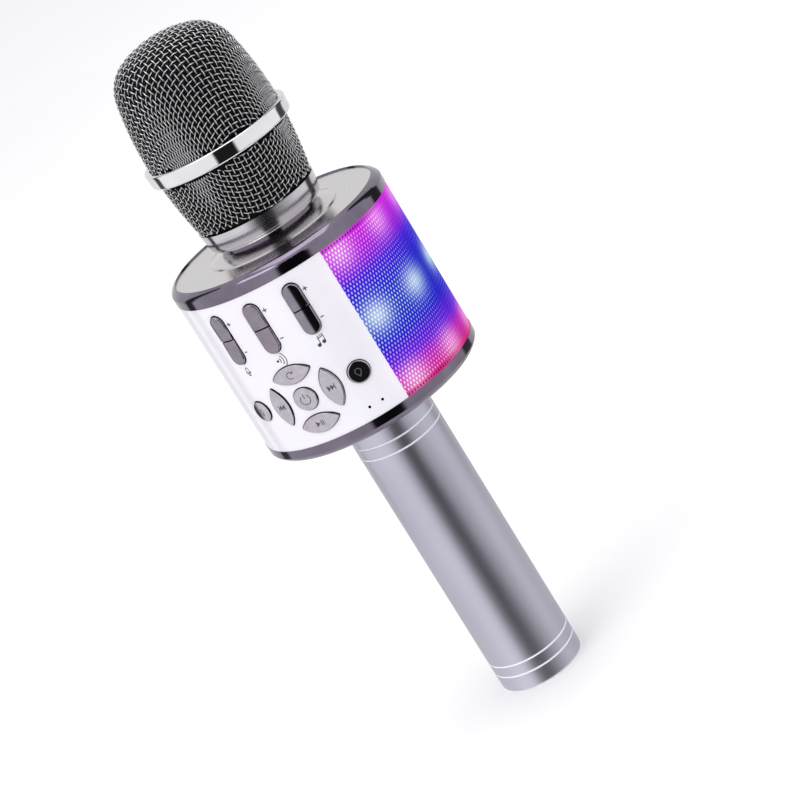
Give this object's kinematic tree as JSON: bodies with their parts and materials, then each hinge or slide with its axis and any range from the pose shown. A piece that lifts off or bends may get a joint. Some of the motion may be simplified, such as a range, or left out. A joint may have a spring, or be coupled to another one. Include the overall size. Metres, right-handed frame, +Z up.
{
  "type": "toy karaoke microphone",
  "caption": "Cordless toy karaoke microphone: metal handle, speaker drum with a control panel and lit grille, and a screw-on wire head.",
  "frame": {"origin": "centre of the handle's flat foot", "axes": "+Z up the handle to the head; the control panel faces -Y; +X is to the right of someone facing the panel"},
  "size_m": [0.083, 0.0837, 0.2671],
  "materials": {
    "handle_metal": "satin",
    "black_plastic": "matte",
    "circuit_board": "satin",
    "socket_steel": "satin",
    "cell_wrap": "satin",
    "dark_chrome": "polished",
    "screw_steel": "satin",
    "satin_silver": "satin",
    "stamped_steel": "satin",
    "magnet_iron": "satin",
    "cone_paper": "matte",
    "black_rubber": "matte",
    "lit_grille": "satin",
    "diffuser_plastic": "satin",
    "led_lens": "gloss",
    "white_panel": "gloss",
    "black_lens": "gloss",
    "key_chrome": "polished",
    "black_foam": "matte",
    "plated_metal": "polished",
    "wire_mesh": "satin"
  },
  "bodies": {
    "microphone": {"handle_tube": "handle_metal", "end_cap": "black_plastic", "port_board": "circuit_board", "audio_jack": "black_plastic", "charge_socket": "socket_steel", "card_slot": "socket_steel", "battery_cradle": "black_plastic", "battery_cell": "cell_wrap", "bottom_bezel": "dark_chrome", "bottom_plate": "black_plastic", "base_screws": "screw_steel", "top_plate": "satin_silver", "top_bezel": "dark_chrome", "chassis": "black_plastic", "speaker_frame": "stamped_steel", "speaker_magnet": "magnet_iron", "speaker_cone": "cone_paper", "speaker_surround": "black_rubber", "speaker_screws": "screw_steel", "main_board": "circuit_board", "board_components": "black_plastic", "speaker_grille": "lit_grille", "light_diffuser": "diffuser_plastic", "led_strip": "circuit_board", "leds": "led_lens", "control_panel": "white_panel", "key_pins": "screw_steel", "indicator_lenses": "black_lens", "key_circuit": "circuit_board", "dome_switches": "socket_steel", "neck_flange": "dark_chrome", "neck": "dark_chrome", "neck_nut": "black_plastic", "capsule_holder": "black_plastic", "capsule_boot": "black_rubber", "capsule": "socket_steel"},
    "mic_key": {"mic_key": "key_chrome"},
    "reverb_key": {"reverb_key": "key_chrome"},
    "music_key": {"music_key": "key_chrome"},
    "power_button": {"power_button": "key_chrome"},
    "mode_button": {"mode_button": "key_chrome"},
    "play_button": {"play_button": "key_chrome"},
    "previous_button": {"previous_button": "key_chrome"},
    "next_button": {"next_button": "key_chrome"},
    "voice_button": {"voice_button": "key_chrome"},
    "light_button": {"light_button": "key_chrome"},
    "windscreen": {"windscreen": "black_foam"},
    "wire_head": {"grille_collar": "plated_metal", "grille_basket": "wire_mesh", "grille_belt": "plated_metal", "grille_dome": "wire_mesh"}
  },
  "joints": [
    {"name": "mic_rock", "type": "hinge", "parent": "microphone", "child": "mic_key", "pos_m": [-0.01398, -0.03523, 0.17142], "axis": [0.9295, -0.3688, 0], "range_deg": [-3.5, 3.5], "stiffness_Nm_per_rad": 0.05},
    {"name": "reverb_rock", "type": "hinge", "parent": "microphone", "child": "reverb_key", "pos_m": [0, -0.0379, 0.17142], "axis": [1, 0, 0], "range_deg": [-3.5, 3.5], "stiffness_Nm_per_rad": 0.05},
    {"name": "music_rock", "type": "hinge", "parent": "microphone", "child": "music_key", "pos_m": [0.01398, -0.03523, 0.17142], "axis": [0.9295, 0.3688, 0], "range_deg": [-3.5, 3.5], "stiffness_Nm_per_rad": 0.05},
    {"name": "power_press", "type": "slide", "parent": "microphone", "child": "power_button", "axis": [0, 1, 0], "range_m": [0, 0.0007], "stiffness_N_per_m": 300},
    {"name": "mode_press", "type": "slide", "parent": "microphone", "child": "mode_button", "axis": [0, 1, 0], "range_m": [0, 0.0007], "stiffness_N_per_m": 300},
    {"name": "play_press", "type": "slide", "parent": "microphone", "child": "play_button", "axis": [0, 1, 0], "range_m": [0, 0.0007], "stiffness_N_per_m": 300},
    {"name": "previous_press", "type": "slide", "parent": "microphone", "child": "previous_button", "axis": [0.2492, 0.9685, 0], "range_m": [0, 0.0007], "stiffness_N_per_m": 300},
    {"name": "next_press", "type": "slide", "parent": "microphone", "child": "next_button", "axis": [-0.2492, 0.9685, 0], "range_m": [0, 0.0007], "stiffness_N_per_m": 300},
    {"name": "voice_press", "type": "slide", "parent": "microphone", "child": "voice_button", "axis": [0.4826, 0.8758, 0], "range_m": [0, 0.0007], "stiffness_N_per_m": 300},
    {"name": "light_press", "type": "slide", "parent": "microphone", "child": "light_button", "axis": [-0.4826, 0.8758, 0], "range_m": [0, 0.0007], "stiffness_N_per_m": 300},
    {"name": "head_lift", "type": "slide", "parent": "microphone", "child": "windscreen", "axis": [0, 0, 1], "range_m": [0, 0.00601]},
    {"name": "head_turn", "type": "hinge", "parent": "windscreen", "child": "wire_head", "pos_m": [0, 0, 0.1901], "axis": [0, 0, 1], "range_deg": [0, 1440]}
  ],
  "couplings": [
    {"joint": "head_lift", "follows": "head_turn", "m_per_rad": 0.00023873}
  ]
}
